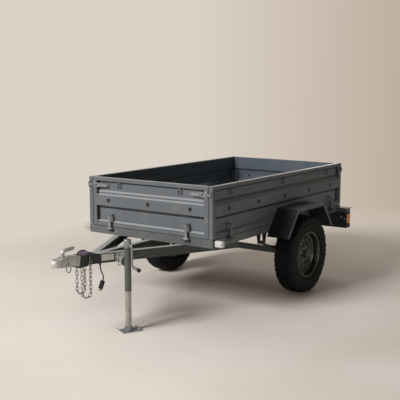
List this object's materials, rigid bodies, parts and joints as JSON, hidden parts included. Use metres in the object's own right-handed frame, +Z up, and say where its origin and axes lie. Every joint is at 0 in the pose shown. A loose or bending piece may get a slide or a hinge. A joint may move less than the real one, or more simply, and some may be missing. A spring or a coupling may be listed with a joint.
{
  "type": "utility trailer",
  "caption": "Single-axle open box utility trailer with pressed-steel drop gates, V drawbar, leaf springs, mudguards and a swivel jack.",
  "frame": {"origin": "on the ground under the middle of the whole trailer", "axes": "+Z up; -Y towards the coupling; +X to the trailer's left side, which carries the jack"},
  "size_m": [1.584, 3.1736, 1.005],
  "materials": {
    "body_paint": "satin grey powder coat on pressed steel",
    "bright_zinc": "bright zinc-plated fittings",
    "chassis_paint": "satin grey powder coat on rolled sections",
    "dark_steel": "black painted steel",
    "tyre": "matte black rubber",
    "rim": "dull silver-grey painted steel wheel",
    "black_plastic": "matte black plastic and rubber",
    "pale_plastic": "pale cream plug insert",
    "clear_lens": "milky clear lens",
    "amber_lens": "amber lens",
    "red_lens": "red lens",
    "chain": "zinc-plated chain",
    "jack_dark": "dark grey enamel"
  },
  "bodies": {
    "root": {"axle": "dark_steel", "cable": "black_plastic", "cable_gland": "black_plastic", "centre_beam": "chassis_paint", "coupling_handle": "bright_zinc", "coupling_head": "bright_zinc", "coupling_ring": "bright_zinc", "drawbar_rails": "chassis_paint", "floor_sheet": "body_paint", "frame_cross_rails": "chassis_paint", "frame_end_rails": "chassis_paint", "frame_side_rails": "chassis_paint", "hinge_lugs": "body_paint", "jack_bracket": "bright_zinc", "latch_catches": "bright_zinc", "leaf_springs": "dark_steel", "marker_lamps": "clear_lens", "mudguard_left": "dark_steel", "mudguard_right": "dark_steel", "plug": "black_plastic", "plug_insert": "pale_plastic", "safety_chains": "chain", "side_hinge_arms": "bright_zinc", "side_panel_left": "body_paint", "side_panel_right": "body_paint", "side_tie_loops": "body_paint", "spring_clamps": "dark_steel", "spring_hangers": "dark_steel", "tail_lamp_amber_lenses": "amber_lens", "tail_lamp_brackets": "dark_steel", "tail_lamp_red_lenses": "red_lens", "tongue_block": "dark_steel"},
    "front_gate": {"front_gate_panel": "body_paint", "front_gate_hinge_arms": "bright_zinc", "front_gate_tie_loops": "body_paint", "front_gate_latches": "bright_zinc"},
    "rear_gate": {"rear_gate_panel": "body_paint", "rear_gate_hinge_arms": "bright_zinc", "rear_gate_tie_loops": "body_paint", "rear_gate_latches": "bright_zinc"},
    "wheel_left": {"tyre_left": "tyre", "rim_left": "rim", "hub_left": "dark_steel"},
    "wheel_right": {"tyre_right": "tyre", "rim_right": "rim", "hub_right": "dark_steel"},
    "jack_swivel": {"jack_tube": "jack_dark", "jack_cap": "bright_zinc", "jack_crank": "bright_zinc", "jack_grip": "bright_zinc", "jack_grip_end": "black_plastic"},
    "jack_leg": {"jack_leg": "bright_zinc", "jack_foot": "bright_zinc"}
  },
  "joints": [
    {"name": "front_gate_hinge", "type": "hinge", "parent": "root", "child": "front_gate", "pos_m": [0, -0.5942, 0.602], "axis": [1, 0, 0], "range_deg": [0, 90]},
    {"name": "rear_gate_hinge", "type": "hinge", "parent": "root", "child": "rear_gate", "pos_m": [0, 1.5738, 0.602], "axis": [-1, 0, 0], "range_deg": [0, 180]},
    {"name": "wheel_left_spin", "type": "hinge", "parent": "root", "child": "wheel_left", "pos_m": [0.699, 0.5998, 0.325], "axis": [1, 0, 0], "continuous": true},
    {"name": "wheel_right_spin", "type": "hinge", "parent": "root", "child": "wheel_right", "pos_m": [-0.699, 0.5998, 0.325], "axis": [1, 0, 0], "continuous": true},
    {"name": "jack_swivel_pivot", "type": "hinge", "parent": "root", "child": "jack_swivel", "pos_m": [0.21969, -1.0752, 0.501], "axis": [0.8926, -0.4508, 0], "range_deg": [0, 90]},
    {"name": "jack_leg_slide", "type": "slide", "parent": "jack_swivel", "child": "jack_leg", "axis": [0, 0, 1], "range_m": [0, 0.24]}
  ]
}
